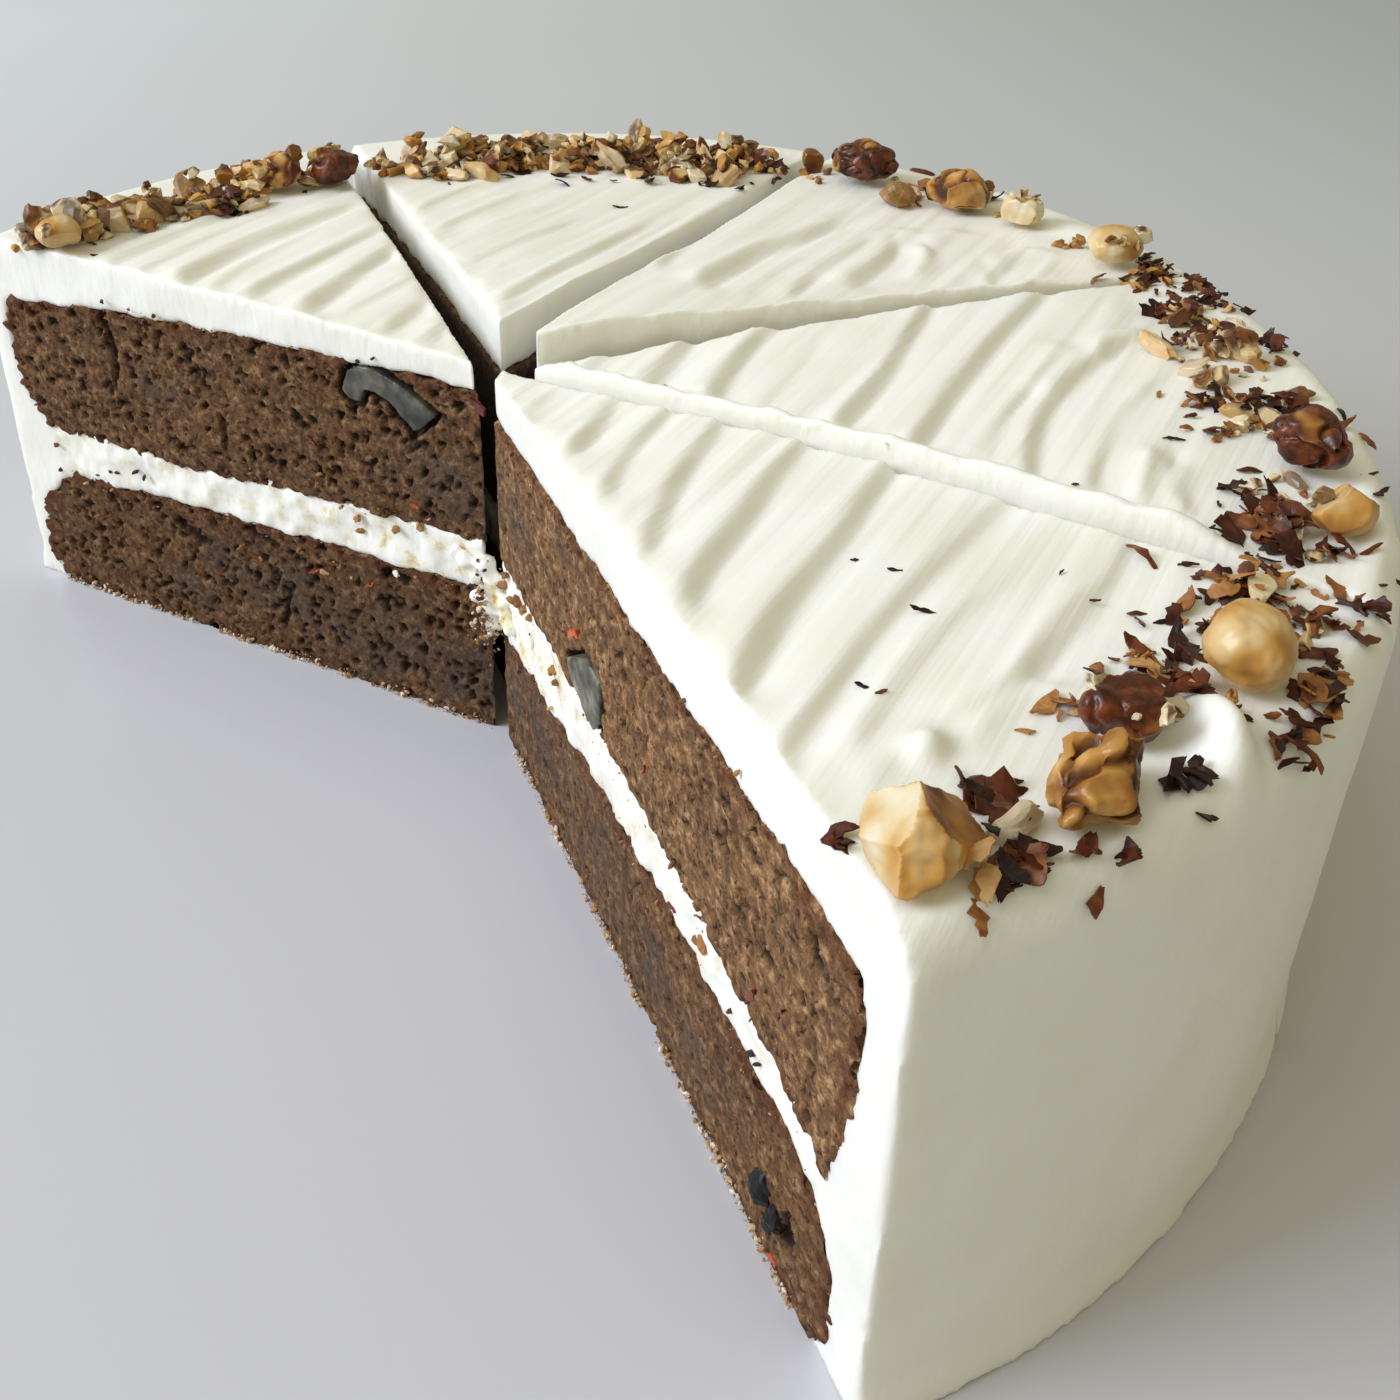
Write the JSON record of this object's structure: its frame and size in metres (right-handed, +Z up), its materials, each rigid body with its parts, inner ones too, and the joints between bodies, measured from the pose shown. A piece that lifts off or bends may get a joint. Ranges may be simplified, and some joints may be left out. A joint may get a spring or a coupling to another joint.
{
  "type": "carrot cake",
  "caption": "Round two-layer carrot cake with cream filling and combed white frosting, cut in slices with a wide part of the round taken out, chopped walnuts round the rim.",
  "frame": {"origin": "centre of the whole round, on the surface that the cake stands on", "axes": "+Z up from the cake's flat underside to its combed top; the missing part of the round faces -X and -Y"},
  "size_m": [0.213, 0.2122, 0.0743],
  "materials": {
    "carrot_sponge": "baked sponge, dull and porous",
    "cream_frosting": "soft cream cheese frosting, faintly glossy",
    "walnut_kernel": "toasted walnut kernel, slightly oily",
    "walnut_skin": "walnut with its dark skin, slightly oily",
    "baked_walnut": "walnut baked into the sponge, grey and moist"
  },
  "bodies": {
    "root": {"lower_sponge_1": "carrot_sponge", "filling_1": "cream_frosting", "upper_sponge_1": "carrot_sponge", "frosting_1": "cream_frosting", "lower_sponge_2": "carrot_sponge", "filling_2": "cream_frosting", "upper_sponge_2": "carrot_sponge", "frosting_2": "cream_frosting", "lower_sponge_3": "carrot_sponge", "filling_3": "cream_frosting", "upper_sponge_3": "carrot_sponge", "frosting_3": "cream_frosting", "lower_sponge_4": "carrot_sponge", "filling_4": "cream_frosting", "upper_sponge_4": "carrot_sponge", "frosting_4": "cream_frosting", "lower_sponge_5": "carrot_sponge", "filling_5": "cream_frosting", "upper_sponge_5": "carrot_sponge", "frosting_5": "cream_frosting", "baked_walnut_left": "baked_walnut", "baked_walnut_right": "baked_walnut", "rim_walnut_01": "walnut_kernel", "rim_walnut_02": "walnut_kernel", "rim_walnut_03": "walnut_skin", "rim_walnut_04": "walnut_kernel", "rim_walnut_05": "walnut_kernel", "rim_walnut_06": "walnut_skin", "rim_walnut_07": "walnut_kernel", "rim_walnut_08": "walnut_kernel", "rim_walnut_09": "walnut_kernel", "rim_walnut_10": "walnut_skin", "rim_walnut_11": "walnut_skin", "rim_walnut_12": "walnut_kernel", "rim_walnut_13": "walnut_kernel"}
  },
  "joints": []
}
